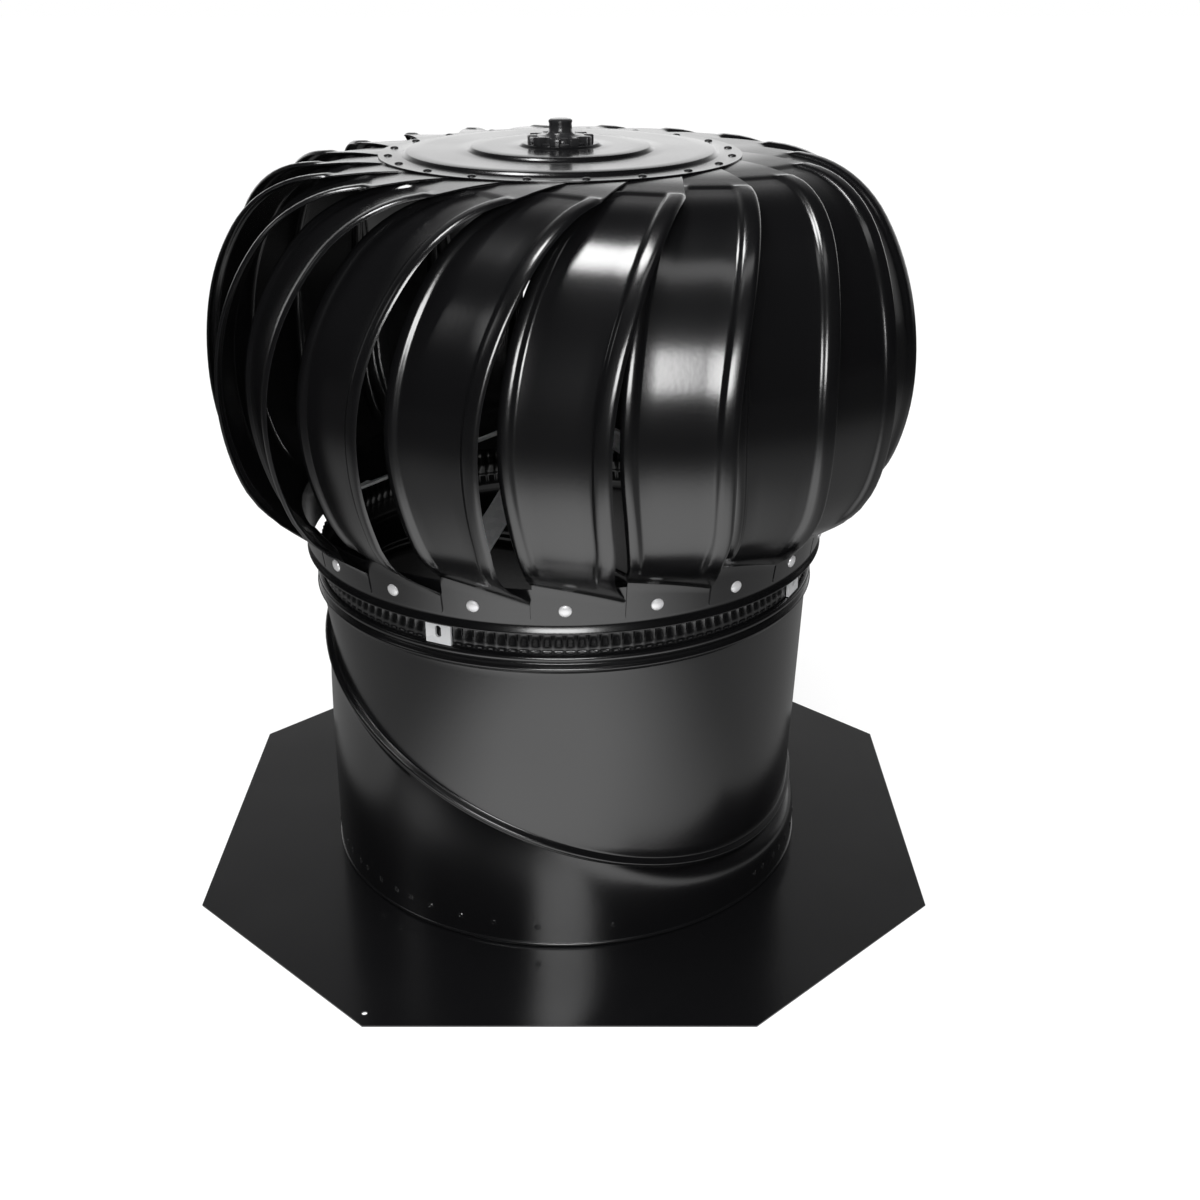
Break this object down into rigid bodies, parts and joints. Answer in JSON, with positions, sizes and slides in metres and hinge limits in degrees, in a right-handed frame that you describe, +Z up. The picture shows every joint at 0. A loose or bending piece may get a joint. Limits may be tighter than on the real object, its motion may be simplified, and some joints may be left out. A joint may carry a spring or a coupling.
{
  "type": "turbine roof vent",
  "caption": "Wind-driven turbine roof vent: bladed spinning head on a braced shaft, over an oblique swivel collar that takes up the roof pitch, on a flat flashing plate.",
  "frame": {"origin": "middle of the duct at the underside of the flashing plate", "axes": "+Z up along the duct and the head's spin axis, with the upper duct in its straight position; -Y towards the front of the picture; the low side of the swivel seam is 24 degrees from +X towards -Y"},
  "size_m": [0.4514, 0.4514, 0.46],
  "materials": {
    "black_paint": "semi-gloss black paint",
    "galvanised": "galvanised steel",
    "bright_steel": "zinc-plated steel",
    "bright_rivet": "bare aluminium",
    "bearing_steel": "ground steel",
    "black_plastic": "moulded nylon"
  },
  "bodies": {
    "base": {"flashing_plate": "black_paint", "lower_collar": "black_paint"},
    "upper_duct": {"upper_collar": "black_paint", "crimped_throat": "black_paint", "lower_brace_strap": "galvanised", "upper_brace_strap": "galvanised", "shaft": "bright_steel", "brace_nuts": "bright_steel", "lock_nut": "bright_steel"},
    "turbine_head": {"cap_plate": "black_paint", "lower_ring": "black_paint", "ring_rivets": "bright_rivet", "cap_rivets": "black_paint", "bearing_housing": "black_plastic", "bearings": "bearing_steel", "blade_01": "black_paint", "blade_02": "black_paint", "blade_03": "black_paint", "blade_04": "black_paint", "blade_05": "black_paint", "blade_06": "black_paint", "blade_07": "black_paint", "blade_08": "black_paint", "blade_09": "black_paint", "blade_10": "black_paint", "blade_11": "black_paint", "blade_12": "black_paint", "blade_13": "black_paint", "blade_14": "black_paint", "blade_15": "black_paint", "blade_16": "black_paint", "blade_17": "black_paint", "blade_18": "black_paint", "blade_19": "black_paint", "blade_20": "black_paint"}
  },
  "joints": [
    {"name": "pitch_swivel", "type": "hinge", "parent": "base", "child": "upper_duct", "pos_m": [0, 0, 0.102], "axis": [0.3716, -0.1654, 0.9135], "range_deg": [-180, 180]},
    {"name": "turbine_spin", "type": "hinge", "parent": "upper_duct", "child": "turbine_head", "pos_m": [0, 0, 0.4], "axis": [0, 0, 1], "continuous": true}
  ]
}
